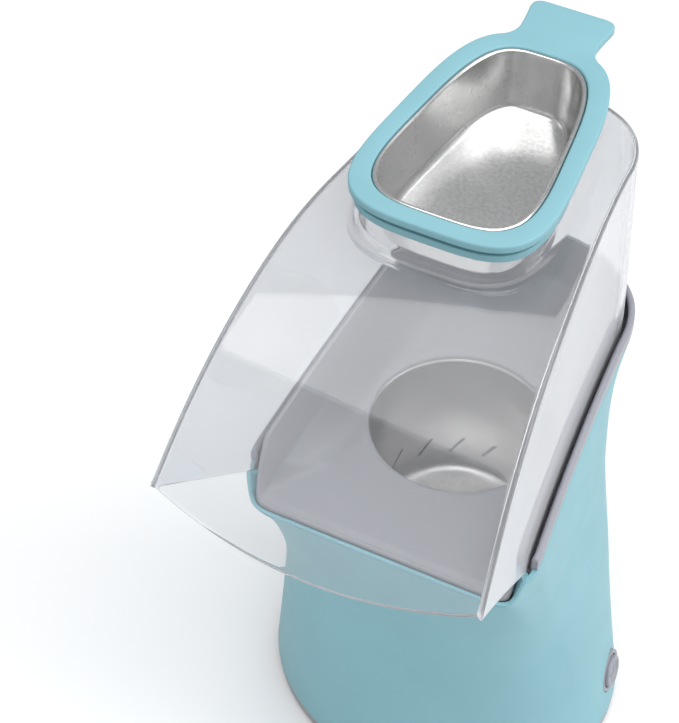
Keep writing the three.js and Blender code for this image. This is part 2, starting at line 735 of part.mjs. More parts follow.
function place(name, body, material) {
  const mesh = new THREE.Mesh(geometryOf(body), material);
  mesh.name = name;
  popcornMaker.add(mesh);
  return mesh;
}

place("base_shell", baseShell(), teal);
place("rim_trim", rimTrim(), grey);
place("pouring_deck", deck(), grey);
place("popping_chamber", poppingChamber(), aluminium);
place("air_jacket", airJacket(), steel);
place("heater_former", heaterFormer(), mica);
place("heater_wire", heaterWire(), nichrome);
place("motor", motorCan(), steel);
place("motor_bracket", motorBracket(), steel);
place("motor_shaft", motorShaft(), steel);
place("fan_wheel", fanWheel(), darkPlastic);
place("thermostat", thermostat(), steel);
place("thermal_fuse", thermalFuse(), steel);
place("rectifier_board", rectifierBoard(), board);
place("base_plate", basePlate(), grey);
corners.forEach(([sx, sy], k) => {
  const foot = place(`foot_pad_${k + 1}`, footPad(), rubber);
  foot.position.set(sx * PAD.x, sy * PAD.y, 0);
  const screw = place(`base_screw_${k + 1}`, baseScrew(), steel);
  screw.position.set(sx * BOSS.x, sy * BOSS.y, 0);
});
place("cord_gland", cordGland(), rubber);
place("button_ring", buttonRing(), grey);
place("button_cap", buttonCap(), grey);
place("switch_module", switchModule(), darkPlastic);
place("chute_hood", hood(), clear);
place("cup_frame", cupFrame(), teal);
place("cup_tray", cupTray(), aluminium);
place("cup_ring", cupRing(), teal);

// The origin lies under the middle of the depth, from the lip's front to the handle's end.
popcornMaker.position.y = -(TAB.end + LIP.y - LIP.bulge) / 2;

export default popcornMaker;
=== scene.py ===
"""Looks for a hot-air popcorn maker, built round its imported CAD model.

Every shape below is computed in millimetres on the fan's axis, with -Y towards the pouring
side, and is moved into the row frame, in metres, when its mesh is made.
"""

import bmesh
import bpy
import numpy as np
from mathutils import Matrix, Vector


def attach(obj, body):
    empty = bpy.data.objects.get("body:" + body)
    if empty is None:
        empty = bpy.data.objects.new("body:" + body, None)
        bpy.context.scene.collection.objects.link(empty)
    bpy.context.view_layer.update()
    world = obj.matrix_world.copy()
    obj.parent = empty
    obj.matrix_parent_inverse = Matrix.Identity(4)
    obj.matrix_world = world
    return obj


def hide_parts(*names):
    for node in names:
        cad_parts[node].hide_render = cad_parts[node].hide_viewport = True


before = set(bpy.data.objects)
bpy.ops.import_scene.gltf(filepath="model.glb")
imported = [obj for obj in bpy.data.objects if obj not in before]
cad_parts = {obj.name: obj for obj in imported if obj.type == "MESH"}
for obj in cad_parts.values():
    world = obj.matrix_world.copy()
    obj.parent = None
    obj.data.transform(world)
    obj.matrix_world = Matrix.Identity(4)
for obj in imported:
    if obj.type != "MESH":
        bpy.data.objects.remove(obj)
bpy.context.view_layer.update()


# ---------------------------------------------------------------- the CAD's dimensions, mm
FOOT = dict(x=100.0, y=88.0, z=9.0, crease=-12.0)
WAIST = dict(x=79.0, y=78.0, level=0.74, crease=-34.0, power=3.3)
VASE = dict(widen=1.08, flare_from=0.45)
SHELL = 2.4
LIP = dict(y=-163.5, z=290.5, half=83.0, bulge=9.5)
REAR = dict(y=45.0, half=62.0, depth=49.0, power=2.6)
SIDE_BOW = (69.0, -65.0)
ROOF_Z = 368.5
ROOF_BEND = (-15.0, -100.0)
HOOD_WALL = 2.4
HOOD_EDGE = 3.6
LEAN = 0.05
SEAM = ((108.0, 252.0), (-20.0, 250.0), (-103.0, 217.5))
SPOUT = dict(y=-92.0, z=208.0, corner=13.0, crease=-52.0)
TRIM = dict(out=5.8, gap=2.2, front=-81.8)
BEAD = dict(out=4.0, up=6.2, r=1.8)
SEAT = 2.4
LEDGE = 5.2
DECK = dict(wall=2.4, lip=21.0, hole_r=46.5, hole_z=210.0, thick=2.6)
CHAMBER = dict(r=47.0, wall=1.0, flange=60.0, top=207.1, bottom=120.0, core=0.16)
AIR_SLOT = dict(count=16, half=4.0, narrow=0.9, tall=7.0, up=19.0, slant=32.0)
CUP = dict(front=54.0, back=39.0, y0=-54.5, y1=89.5, top=393.2, power=3.7, middle=15.0)
CUP_FLANGE = 4.6
CUP_BAND = 9.4
CUP_RING = dict(inset=2.0, shoulder=385.4, neck=4.2, top=387.0, bottom=381.1)
TRAY = dict(wall=1.0, bottom=359.0, draft=3.4, flange=5.5)
TAB = dict(end=117.5, half=22.0, root=20.0, corner=7.0)
COLLAR = dict(out=0.4, top=380.8)
# (inset, rise) up the collar's curved root, on its face and in its bore.
COLLAR_FACE = [(0.2, 0.1), (1.6, 0.4), (3.0, 1.1), (4.1, 2.4), (4.5, 3.8), (4.6, 5.5)]
COLLAR_BORE = [(2.6, 0.1), (4.6, 0.4), (5.9, 1.2), (6.7, 2.6), (6.95, 4.2), (7.0, 6.0)]
PLATE = dict(bottom=2.6, top=8.7, floor=3.0, x=95.0, y=83.0)
PAD = dict(r=8.0, height=4.4, x=58.0, y=50.0)
BOSS = dict(x=71.0, y=44.0, hole=4.2)
POST = dict(bore=1.9, low=6.2, high=6.0, top=30.0)
SCREW = dict(head=3.8, shank=1.6, thick=2.2, tip=25.0)
CORNERS = [(1, 1), (-1, 1), (-1, -1), (1, -1)]
BUTTON = dict(r=9.4, ring=12.4, flange=14.6, x=95.3, y=12.0, z=34.0, proud=2.6, up=9.0, back=4.0)
GLAND = dict(r=6.0, bore=3.7, flange=9.5, y=88.2, z=24.0)
GAP = 0.3
# Where the profile of a turned solid stops short of its axis.
CORE = 0.05
SHIFT_Y = -(TAB["end"] + LIP["y"] - LIP["bulge"]) / 2


# ---------------------------------------------------------------- how fine the meshes are
BASE_POINTS = 264
HOOD_COLUMNS = 150
HOOD_STEPS = np.r_[0, 0.03, 0.1, np.linspace(0.2, 1, 9)]
EDGE_STEPS = 8
ROOF_STEPS = 24
# Points closer than this are merged, in metres.
MERGE = 2e-6


# ---------------------------------------------------------------- curves
def mix(a, b, t):
    return a + (b - a) * t


def smoothstep(x, lo, hi):
    t = np.clip((x - lo) / (hi - lo), 0, 1)
    return t * t * (3 - 2 * t)


def bezier(a, b, c, n):
    t = np.linspace(0, 1, n)[:, None]
    return (1 - t) ** 2 * np.array(a) + 2 * t * (1 - t) * np.array(b) + t**2 * np.array(c)


def arc(centre, radius, start, end, n):
    """n points round an arc; radius is (across, up), and the angles are in radians."""
    a = np.linspace(start, end, n)
    across = centre[0] + radius[0] * np.cos(a)
    return list(zip(across, centre[1] + radius[1] * np.sin(a)))


def ellipse(x, y, n=160):
    a = np.arange(n) / n * 2 * np.pi
    return np.column_stack([x * np.cos(a), y * np.sin(a)])


def circle(cx, cy, r, n=40):
    return ellipse(r, r, n) + (cx, cy)


def at_height(line, z):
    return np.column_stack([line, np.full(len(line), z)])


def sideways(line):
    """Unit vectors to the right of a line, at each of its points."""
    tangent = np.gradient(line, axis=0)
    tangent /= np.linalg.norm(tangent, axis=1)[:, None]
    return np.column_stack([tangent[:, 1], -tangent[:, 0]])


def resample(points, n):
    """n points evenly along an open line."""
    step = np.r_[0, np.cumsum(np.linalg.norm(np.diff(points, axis=0), axis=1))]
    s = np.linspace(0, step[-1], n)
    return np.stack([np.interp(s, step, points[:, k]) for k in range(points.shape[1])], 1)


def curve_time(y, y0, y1, y2):
    """Where along a quadratic curve, with these three control values, it reaches y."""
    a, b, c = y0 - 2 * y1 + y2, 2 * (y1 - y0), y0 - np.asarray(y, float)
    return (-b - np.sqrt(np.maximum(b * b - 4 * a * c, 0))) / (2 * a)


def seam_z(y):
    """Height of the seam between the shell and its trim."""
    (y0, z0), (y1, z1), (y2, z2) = SEAM
    t = curve_time(y, y0, y1, y2)
    return (1 - t) ** 2 * z0 + 2 * t * (1 - t) * z1 + t**2 * z2


def roof_z(y):
    """Height of the hood's roof: level, then bent down to the lip, then straight on."""
    y = np.asarray(y, float)
    y0, y1, y2, z2 = *ROOF_BEND, LIP["y"], LIP["z"]
    t = np.where(y > y0, 0, curve_time(y, y0, y1, y2))
    slope = (ROOF_Z - z2) / (y1 - y2)
    bent = (1 - t * t) * ROOF_Z + t * t * z2
    return np.where(y < y2, z2 + (y - y2) * slope, bent)


def hood_half():
    """The hood's right half in plan, from the lip's corner to the middle of its back."""
    count = 90
    side = bezier((LIP["half"], LIP["y"]), SIDE_BOW, (REAR["half"], REAR["y"]), count)
    a = np.linspace(0, np.pi / 2, count)[1:]
    power = 2 / REAR["power"]
    x = REAR["half"] * np.maximum(np.cos(a), 0) ** power
    y = REAR["y"] + REAR["depth"] * np.sin(a) ** power
    return np.vstack([side, np.stack([x, y], 1)])


def base_half():
    """The base's opening, right half, from the middle of its front to that of its back."""
    line = hood_half()
    line = line[line[:, 1] > SPOUT["y"] + SPOUT["corner"]]
    start = line[0]
    first = (start[0] - SPOUT["corner"], SPOUT["y"])
    corner = bezier(first, (start[0] + 1, SPOUT["y"]), start, 24)
    return np.vstack([[0, SPOUT["y"]], corner[:-1], line])


def closed(half, n):
    """A full outline of n points, anticlockwise from the middle of the front."""
    right = resample(half, n // 2 + 1)
    return np.vstack([right, (right * (-1, 1))[-2:0:-1]])


BASE = closed(base_half(), BASE_POINTS)
FRONT = smoothstep(-BASE[:, 1], -SPOUT["y"] - 7, -SPOUT["y"] - 0.5)
BEARING = np.degrees(np.arctan2(BASE[:, 1], np.abs(BASE[:, 0])))
SIDE = np.sign(np.where(np.abs(BASE[:, 0]) < 1e-9, 1, BASE[:, 0]))


def offset(distance):
    """The base's outline moved out by a distance, along rays from the fan's axis."""
    reach, halvings = 40, 26
    poly, nxt = BASE, np.roll(BASE, -1, 0)
    radius = np.linalg.norm(BASE, axis=1)
    ray = BASE / radius[:, None]
    want = np.broadcast_to(distance, (BASE_POINTS,)).astype(float)
    lo, hi = radius - reach, radius + reach
    edge = nxt - poly
    length2 = (edge**2).sum(1)
    for _ in range(halvings):
        r = (lo + hi) / 2
        p = ray * r[:, None]
        d = p[:, None] - poly[None]
        t = np.clip((d * edge).sum(2) / length2, 0, 1)
        gap = np.linalg.norm(d - t[..., None] * edge, axis=2).min(1)
        gap = np.where(r < radius, -gap, gap)
        lo = np.where(gap < want, r, lo)
        hi = np.where(gap < want, hi, r)
    return ray * ((lo + hi) / 2)[:, None]


def base_ring(d, h, d_front=None, h_front=0.0):
    """The offset outline at a height over the seam, or over the spout across the front."""
    line = offset(mix(d, d if d_front is None else d_front, FRONT))
    z = mix(seam_z(line[:, 1]) + h, SPOUT["z"] + h_front, FRONT)
    return np.column_stack([line, z])


def seam_ring(d, h):
    line = offset(d)
    return np.column_stack([line, seam_z(line[:, 1]) + h])


def oval_ring(x, y, crease, power=2.0):
    """An oval in plan with radii x and y. Its points follow the base's, so that the crease
    down the housing meets the oval at the given angle."""
    corner = SPOUT["crease"]
    low = mix(-90, crease, (BEARING + 90) / (corner + 90))
    high = mix(crease, 90, (BEARING - corner) / (90 - corner))
    t = np.radians(np.where(BEARING < corner, low, high))
    n = np.where(t < 0, power, 2.0)
    r = ((np.abs(np.cos(t)) / x) ** n + (np.abs(np.sin(t)) / y) ** n) ** (-1 / n)
    return np.column_stack([r * np.cos(t) * SIDE, r * np.sin(t)])


def cup_outline(inset, n):
    """The cup in plan: a box with round corners, wider at its front."""
    power = 2 / CUP["power"]
    a = (np.arange(n) + 0.5) / n * 2 * np.pi

    def bent(v):
        return np.sign(v) * np.abs(v) ** power

    s = (bent(np.sin(a)) + 1) / 2
    half = mix(CUP["front"], CUP["back"], s) - inset
    x = half * bent(np.cos(a))
    y = mix(CUP["y0"] + inset, CUP["y1"] - inset, s)
    line = np.column_stack([x, y])
    loop = np.vstack([line, line[:1]])
    return resample(loop, n + 1)[:-1]


# ---------------------------------------------------------------- meshes
def place(points):
    """From millimetres on the fan's axis to metres in the row frame."""
    p = np.asarray(points, float).reshape(-1, 3).copy()
    p[:, 1] += SHIFT_Y
    return p * 0.001


def clean(mesh):
    """Merges doubled points and turns the faces outwards."""
    bm = bmesh.new()
    bm.from_mesh(mesh)
    bmesh.ops.remove_doubles(bm, verts=bm.verts, dist=MERGE)
    bmesh.ops.recalc_face_normals(bm, faces=bm.faces)
    bm.to_mesh(mesh)
    bm.free()


def link(name, data):
    obj = bpy.data.objects.new(name, data)
    bpy.context.scene.collection.objects.link(obj)
    return obj


def shape(name, points, faces):
    """A bare object from points in millimetres on the fan's axis."""
    mesh = bpy.data.meshes.new(name)
    mesh.from_pydata([tuple(p) for p in place(points)], [], faces)
    clean(mesh)
    return link(name, mesh)


def make(name, points, faces, material, body, nodes=(), sharp=40):
    """A finished piece, riding on a body."""
    obj = shape(name, points, faces)
    obj.data.materials.append(material)
    smooth(obj, sharp)
    return settle(obj, body, nodes)


def smooth(obj, sharp=40):
    obj.data.polygons.foreach_set("use_smooth", [True] * len(obj.data.polygons))
    obj.data.set_sharp_from_angle(angle=np.radians(sharp))


def settle(obj, body, nodes=()):
    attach(obj, body)
    if nodes:
        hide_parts(*nodes)
    return obj


def evaluated(obj):
    """A new mesh of an object as its modifiers or curve settings make it."""
    dg = bpy.context.evaluated_depsgraph_get()
    return bpy.data.meshes.new_from_object(obj.evaluated_get(dg))


def loft(rings, loop=True, cap=False):
    """Points and faces through rings. loop joins the last ring to the first."""
    n, count = len(rings[0]), len(rings)
    faces = []
    for i in range(count if loop else count - 1):
        a, b = i * n, (i + 1) % count * n
        for k in range(n):
            m = (k + 1) % n
            faces.append((a + k, a + m, b + m, b + k))
    if cap:
        faces.append(tuple(range(n))[::-1])
        faces.append(tuple(range((count - 1) * n, count * n)))
    return np.vstack(rings), faces


def turned(profile, sides):
    """Points and faces of a closed (r, z) profile turned about Z."""
    return loft([at_height(ellipse(r, r, sides), z) for r, z in profile])


def rod(r, z0, z1, sides=48):
    ring = ellipse(r, r, sides)
    return loft([at_height(ring, z0), at_height(ring, z1)], loop=False, cap=True)


def box(x, y, z):
    """Points and faces of a box, from its two ends along each axis."""
    (x0, x1), (y0, y1) = x, y
    corners = [(x0, y0), (x1, y0), (x1, y1), (x0, y1)]
    return loft([at_height(corners, level) for level in z], loop=False, cap=True)


def rounded(points, radii, steps):
    """A closed 2-D profile with its corners rounded."""
    longest = 0.45
    points = np.array(points, float)
    out = []
    for p, before, after, radius in zip(points, np.roll(points, 1, 0), np.roll(points, -1, 0), radii):
        a, b = before - p, after - p
        la, lb = np.linalg.norm(a), np.linalg.norm(b)
        r = min(radius, la * longest, lb * longest)
        out.extend(bezier(p + a / la * r, p, p + b / lb * r, steps))
    return out


def extruded(name, outline, holes, z0, z1, bevel, material):
    """A flat plate with rounded edges, as a bare object."""
    curve = bpy.data.curves.new(name, "CURVE")
    curve.dimensions = "2D"
    curve.fill_mode = "BOTH"
    curve.extrude = (z1 - z0) / 2000 - bevel / 1000
    curve.bevel_depth = bevel / 1000
    curve.bevel_resolution = 3
    curve.offset = -bevel / 1000
    for line in [outline, *holes]:
        spline = curve.splines.new("POLY")
        spline.points.add(len(line) - 1)
        for point, at in zip(spline.points, place(at_height(line, 0))):
            point.co = (*at, 1)
        spline.use_cyclic_u = True
    temp = link(name + "_curve", curve)
    mesh = evaluated(temp)
    bpy.data.objects.remove(temp)
    bpy.data.curves.remove(curve)
    mesh.name = name
    mesh.transform(Matrix.Translation((0, 0, (z0 + z1) / 2000)))
    clean(mesh)
    mesh.materials.clear()
    mesh.materials.append(material)
    return link(name, mesh)


def cut(obj, points, faces):
    """Cuts a closed solid, in millimetres, out of a piece."""
    tool = shape("cutter", points, faces)
    whole, cutter = obj.data, tool.data
    mod = obj.modifiers.new("cut", "BOOLEAN")
    mod.operation = "DIFFERENCE"
    mod.solver = "EXACT"
    mod.object = tool
    mesh = evaluated(obj)
    obj.modifiers.clear()
    obj.data = mesh
    bpy.data.objects.remove(tool)
    bpy.data.meshes.remove(whole)
    bpy.data.meshes.remove(cutter)


def join(name, objects, material):
    """One object out of several meshes of one material."""
    bm = bmesh.new()
    for obj in objects:
        bm.from_mesh(obj.data)
    mesh = bpy.data.meshes.new(name)
    bm.to_mesh(mesh)
    bm.free()
    mesh.materials.append(material)
    for obj in objects:
        bpy.data.objects.remove(obj)
    return link(name, mesh)


def at_button(points):
    """From an axis along Z, with z = 0 on the shell's face, to the button's place."""
    up, back = np.radians(BUTTON["up"]), np.radians(BUTTON["back"])
    out = np.array([np.cos(up) * np.cos(back), np.cos(up) * np.sin(back), np.sin(up)])
    across = np.array([np.sin(back), -np.cos(back), 0])
    turn = np.column_stack([np.cross(across, out), across, out])
    return np.asarray(points) @ turn.T + (BUTTON["x"], BUTTON["y"], BUTTON["z"])


def along_y(points, y, z):
    """From an axis along Z to one along +Y."""
    p = np.asarray(points)
    return np.column_stack([p[:, 0], p[:, 2] + y, z - p[:, 1]])


# ---------------------------------------------------------------- materials
def material(name, color, roughness, **inputs):
    """A plain material; its other shader inputs are named with _ for spaces."""
    mat = bpy.data.materials.new(name)
    mat.use_nodes = True
    bsdf = mat.node_tree.nodes["Principled BSDF"]
    bsdf.inputs["Base Color"].default_value = (*color, 1)
    bsdf.inputs["Roughness"].default_value = roughness
    for key, value in inputs.items():
        bsdf.inputs[key.replace("_", " ")].default_value = value
    return mat, mat.node_tree, bsdf


def noise(tree, scale, detail=3.0, stretch=(1, 1, 1)):
    coords = tree.nodes.new("ShaderNodeTexCoord")
    mapping = tree.nodes.new("ShaderNodeMapping")
    mapping.inputs["Scale"].default_value = stretch
    node = tree.nodes.new("ShaderNodeTexNoise")
    node.inputs["Scale"].default_value = scale
    node.inputs["Detail"].default_value = detail
    tree.links.new(coords.outputs["Object"], mapping.inputs["Vector"])
    tree.links.new(mapping.outputs["Vector"], node.inputs["Vector"])
    return node


def ramp(tree, source, stops):
    """Colours between stops of (position, colour)."""
    node = tree.nodes.new("ShaderNodeValToRGB")
    points = node.color_ramp.elements
    while len(points) < len(stops):
        points.new(0.5)
    for element, (at, color) in zip(points, stops):
        element.position = at
        element.color = (*color, 1)
    tree.links.new(source, node.inputs["Fac"])
    return node


def spread(tree, source, lo, hi):
    """A noise, which keeps near its middle, stretched to fill a range."""
    node = tree.nodes.new("ShaderNodeMapRange")
    node.inputs["From Min"].default_value = 0.3
    node.inputs["From Max"].default_value = 0.7
    node.inputs["To Min"].default_value = lo
    node.inputs["To Max"].default_value = hi
    tree.links.new(source, node.inputs["Value"])
    return node


def blend(tree, share, first, second):
    """A mix of two shaders; share is how much of the second shows."""
    node = tree.nodes.new("ShaderNodeMixShader")
    tree.links.new(share, node.inputs["Fac"])
    tree.links.new(first.outputs[0], node.inputs[1])
    tree.links.new(second.outputs[0], node.inputs[2])
    return node


def bump(tree, bsdf, layers):
    """Layers are (height output, strength, distance in metres)."""
    last = None
    for source, strength, distance in layers:
        node = tree.nodes.new("ShaderNodeBump")
        node.inputs["Strength"].default_value = strength
        node.inputs["Distance"].default_value = distance
        tree.links.new(source, node.inputs["Height"])
        if last:
            tree.links.new(last.outputs["Normal"], node.inputs["Normal"])
        last = node
    tree.links.new(last.outputs["Normal"], bsdf.inputs["Normal"])


def moulded(name, color, roughness, grain=0.10, shade=0.03, shine=0.4):
    """Satin moulded plastic: a fine spark-eroded grain, and a faint mottling."""
    mat, tree, bsdf = material(name, color, roughness, Specular_IOR_Level=shine, IOR=1.5)
    broad = noise(tree, 18, 2)
    darker = tuple(c * (1 - shade) for c in color)
    lighter = tuple(min(1, c * (1 + shade)) for c in color)
    tint = ramp(tree, broad.outputs["Fac"], [(0.3, darker), (0.7, lighter)])
    tree.links.new(tint.outputs["Color"], bsdf.inputs["Base Color"])
    patch = noise(tree, 55, 3)
    rough = spread(tree, patch.outputs["Fac"], roughness - 0.035, roughness + 0.035)
    tree.links.new(rough.outputs["Result"], bsdf.inputs["Roughness"])
    fine = noise(tree, 1500, 2)
    sink = noise(tree, 14, 1)
    bump(tree, bsdf, [(sink.outputs["Fac"], 0.05, 0.002), (fine.outputs["Fac"], grain, 0.00006)])
    return mat


def metal(name, color, roughness, stretch=(1, 1, 1), scale=900, grain=0.12, dark=0.86):
    """Drawn or turned metal with fine marks along one direction."""
    mat, tree, bsdf = material(name, color, roughness, Metallic=1.0)
    marks = noise(tree, scale, 4, stretch)
    deep = tuple(c * dark for c in color)
    tint = ramp(tree, marks.outputs["Fac"], [(0.35, deep), (0.65, color)])
    tree.links.new(tint.outputs["Color"], bsdf.inputs["Base Color"])
    cloud = noise(tree, 30, 3)
    rough = spread(tree, cloud.outputs["Fac"], roughness - 0.06, roughness + 0.06)
    tree.links.new(rough.outputs["Result"], bsdf.inputs["Roughness"])
    bump(tree, bsdf, [(marks.outputs["Fac"], grain, 0.00008)])
    return mat


def clear_plastic():
    """Clear polycarbonate: faintly grey, milkier where it is seen edge on, and letting the
    lamps' light straight through."""
    mat, tree, bsdf = material(
        "clear_hood", (0.90, 0.905, 0.915), 0.02, Transmission_Weight=1.0, IOR=1.46
    )
    haze = noise(tree, 7, 2)
    rough = spread(tree, haze.outputs["Fac"], 0.01, 0.05)
    tree.links.new(rough.outputs["Result"], bsdf.inputs["Roughness"])
    wave = noise(tree, 5, 0)
    bump(tree, bsdf, [(wave.outputs["Fac"], 0.03, 0.0008)])

    veil = tree.nodes.new("ShaderNodeBsdfDiffuse")
    veil.inputs["Color"].default_value = (0.62, 0.63, 0.655, 1)
    facing = tree.nodes.new("ShaderNodeLayerWeight")
    facing.inputs["Blend"].default_value = 0.5
    stops = [(at, (share,) * 3) for at, share in ((0.0, 0.07), (0.72, 0.12), (0.97, 0.72))]
    edge = ramp(tree, facing.outputs["Facing"], stops)
    seen = blend(tree, edge.outputs["Color"], bsdf, veil)

    ray = tree.nodes.new("ShaderNodeLightPath")
    thin = tree.nodes.new("ShaderNodeBsdfTransparent")
    thin.inputs["Color"].default_value = (0.93, 0.94, 0.95, 1)
    whole = blend(tree, ray.outputs["Is Shadow Ray"], seen, thin)
    tree.links.new(whole.outputs["Shader"], tree.nodes["Material Output"].inputs["Surface"])
    return mat


TEAL = moulded("teal_plastic", (0.215, 0.425, 0.480), 0.46, grain=0.07, shine=0.25)
GREY = moulded("grey_plastic", (0.275, 0.280, 0.315), 0.36, grain=0.08)
DECK_GREY = moulded("deck_plastic", (0.285, 0.288, 0.306), 0.44, grain=0.06)
BASE_GREY = moulded("plate_plastic", (0.285, 0.290, 0.305), 0.48, grain=0.25)
CLEAR = clear_plastic()
ALUMINIUM = metal("drawn_aluminium", (0.74, 0.74, 0.735), 0.25, (1, 1, 6), 500, grain=0.07)
CHAMBER_METAL = metal("chamber_aluminium", (0.62, 0.61, 0.60), 0.34, (1, 1, 8), 420)
STEEL = metal("plated_steel", (0.55, 0.56, 0.58), 0.33, (1, 1, 10), 380)
NICHROME = metal("oxidised_wire", (0.25, 0.22, 0.21), 0.5, (4, 4, 4), 800, dark=0.6)
RUBBER = moulded("black_rubber", (0.022, 0.022, 0.024), 0.75, grain=0.5, shade=0.15)
# Painted shade: a near-black for the faces in the trim's groove, standing in for the shadow down the
# gap where the hood sits.
GROOVE_SHADE = moulded("painted_groove_shade", (0.045, 0.045, 0.055), 0.45, grain=0.2, shade=0.1)
DARK = moulded("dark_nylon", (0.030, 0.032, 0.035), 0.52, grain=0.3, shade=0.12)


def mica():
    mat, tree, bsdf = material("mica_sheet", (0.50, 0.43, 0.31), 0.5)
    flakes = tree.nodes.new("ShaderNodeTexVoronoi")
    flakes.inputs["Scale"].default_value = 320
    coords = tree.nodes.new("ShaderNodeTexCoord")
    tree.links.new(coords.outputs["Object"], flakes.inputs["Vector"])
    stops = [(0.1, (0.56, 0.49, 0.36)), (0.9, (0.37, 0.31, 0.22))]
    tint = ramp(tree, flakes.outputs["Distance"], stops)
    tree.links.new(tint.outputs["Color"], bsdf.inputs["Base Color"])
    bump(tree, bsdf, [(flakes.outputs["Distance"], 0.3, 0.0002)])
    return mat


def circuit_board():
    mat, tree, bsdf = material("phenolic_board", (0.30, 0.19, 0.06), 0.45)
    weave = noise(tree, 700, 3)
    stops = [(0.3, (0.24, 0.15, 0.05)), (0.7, (0.37, 0.24, 0.09))]
    tint = ramp(tree, weave.outputs["Fac"], stops)
    tree.links.new(tint.outputs["Color"], bsdf.inputs["Base Color"])
    bump(tree, bsdf, [(weave.outputs["Fac"], 0.2, 0.0001)])
    return mat


MICA = mica()
BOARD = circuit_board()


# ---------------------------------------------------------------- the base
def vase_ring(level, inset):
    """The housing in plan at a level from 0, at its foot, to 1, at its seam."""
    foot = oval_ring(FOOT["x"] - inset, FOOT["y"] - inset, FOOT["crease"])
    waist = oval_ring(WAIST["x"] - inset, WAIST["y"] - inset, WAIST["crease"], WAIST["power"])
    top = base_ring(TRIM["out"] - inset, 0)
    start = VASE["flare_from"]
    widen = max(0.0, 1 - level / WAIST["level"]) ** VASE["widen"]
    flare = max(0.0, (level - start) / (1 - start)) ** 2
    plan = mix(mix(waist, foot, widen), top[:, :2], flare)
    return np.column_stack([plan, mix(FOOT["z"], top[:, 2], level)])


def corner_ledge():
    """Rings for a small ledge that closes the corners between the trim's ends and the deck."""
    high, low, fade = -2.8, -4.4, 0.6
    reach = np.clip((TRIM["front"] - fade - BASE[:, 1]) / fade, 0, 1)
    deck_edge = mix(-HOOD_WALL - 3 * GAP, TRIM["out"] - SHELL - GAP, FRONT) + GAP
    narrow = np.full(BASE_POINTS, TRIM["out"] - SHELL)
    wide = np.minimum(mix(narrow, deck_edge, reach), narrow)
    corners = (narrow, high), (wide, high), (wide, low), (narrow, low)
    return [base_ring(d, h, None, h) for d, h in corners]


def base_shell():
    levels = np.r_[0.004, np.linspace(0.012, 0.985, 40), 0.996]
    outside = [vase_ring(0, 0.9), *[vase_ring(t, 0) for t in levels], vase_ring(1, 0.5)]
    inside = [vase_ring(t, SHELL) for t in np.linspace(1, 0, 24)]
    points, faces = loft(outside + inside[:1] + corner_ledge() + inside[1:])
    shell = make("Base_shell", points, faces, TEAL, "base", ["base_shell"], 50)
    hole, hole_faces = rod(BUTTON["ring"] + GAP, -9, 6, 64)
    cut(shell, at_button(hole), hole_faces)
    bore, bore_faces = rod(GLAND["r"] + GAP, -20, 20)
    cut(shell, along_y(bore, GLAND["y"], GLAND["z"]), bore_faces)
    smooth(shell, 50)


def screw_posts():
    bore, low, high = POST["bore"], FOOT["z"], POST["top"]
    profile = [(bore, low), (POST["low"], low), (POST["high"], high), (bore, high)]
    points, faces = turned(profile, 40)
    for k, (sx, sy) in enumerate(CORNERS):
        post = points + (sx * BOSS["x"], sy * BOSS["y"], 0)
        make(f"Screw_post_{k + 1}", post, faces, TEAL, "base")


def rim_trim():
    margin, pull = 1.5, 0.85
    keep = np.where(BASE[:, 1] > TRIM["front"] + margin)[0]
    skirt = TRIM["out"] - SHELL - GAP
    outside = [(TRIM["out"] - 0.5, GAP), (TRIM["out"], GAP + 0.5), (TRIM["out"], 3.5)]
    bead = arc((BEAD["out"], BEAD["up"]), (BEAD["r"], BEAD["r"]), 0, np.pi, 13)
    groove = [
        (TRIM["gap"], -SEAT + 0.3),
        (TRIM["gap"] - 0.3, -SEAT),
        (-LEDGE + 0.4, -SEAT),
        (-LEDGE, -SEAT - 0.4),
        (-LEDGE, -SEAT - 2.6),
        (skirt, -SEAT - 2.6),
    ]
    profile = [*outside, *bead, *groove, (skirt, GAP)]
    rings = np.array([seam_ring(d, h)[keep] for d, h in profile])
    stations = np.transpose(rings, (1, 0, 2))
    # The end stations are drawn to the trim's front, and keep their heights over the seam.
    for end in stations[0], stations[-1]:
        rise = end[:, 2] - seam_z(end[:, 1])
        end[:, 1] = mix(end[:, 1], TRIM["front"], pull)
        end[:, 2] = seam_z(end[:, 1]) + rise
    points, faces = loft(list(stations), loop=False, cap=True)
    trim = make("Rim_trim", points, faces, GREY, "base", ["rim_trim"], 50)
    trim.data.materials.append(GROOVE_SHADE)
    # The groove's faces take the painted shade, a near-black in place of the shadow in the gap round
    # the hood's seat.
    first = len(outside) + len(bead) - 1
    dark = range(first, first + len(groove))
    for face, corners in zip(trim.data.polygons, faces):
        if len(corners) == 4 and corners[0] % len(profile) in dark:
            face.material_index = 1


